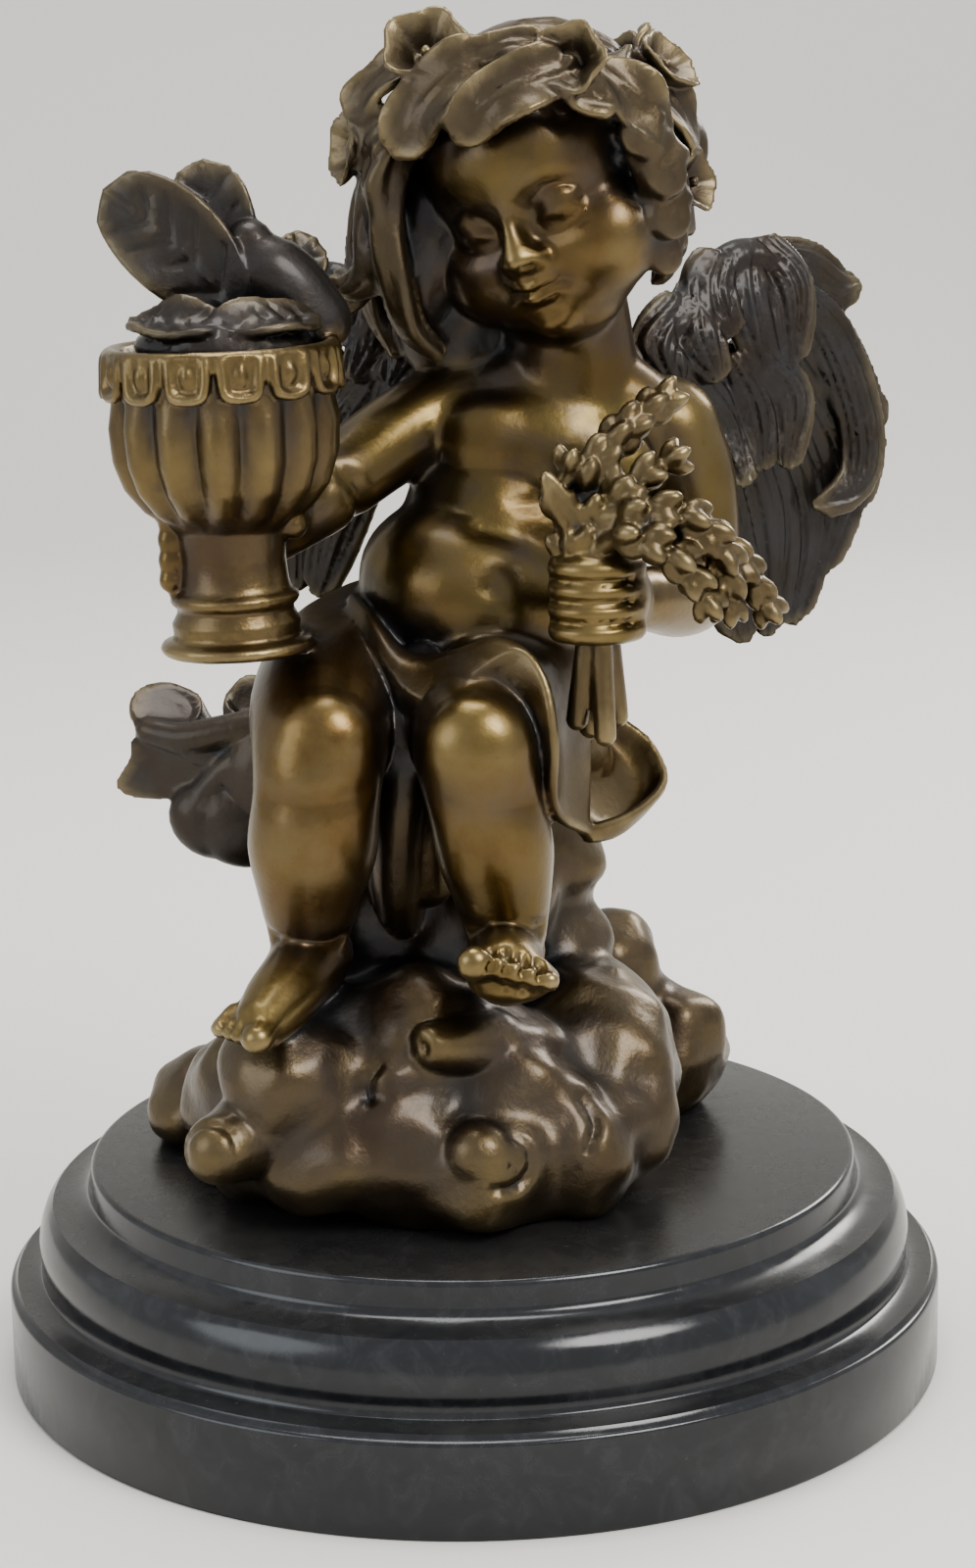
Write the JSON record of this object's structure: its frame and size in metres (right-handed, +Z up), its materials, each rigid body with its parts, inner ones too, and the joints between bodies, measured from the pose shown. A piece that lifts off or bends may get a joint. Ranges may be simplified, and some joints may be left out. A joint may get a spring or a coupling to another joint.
{
  "type": "guardian angel statue",
  "caption": "Seated bronze cherub on a heaped rock, with a lobed goblet and a sheaf of wheat, on a round stepped marble plinth",
  "frame": {"origin": "centre of the plinth's underside", "axes": "+Z up, the figure faces -Y, +X is the viewer's right"},
  "size_m": [0.15, 0.15, 0.2111],
  "materials": {
    "patinated_bronze": "dark brown patinated bronze, worn golden on raised edges, semi-gloss",
    "black_marble": "polished black marble, slightly dusty on top"
  },
  "bodies": {
    "root": {"bronze_angel": "patinated_bronze", "marble_plinth": "black_marble"}
  },
  "joints": []
}
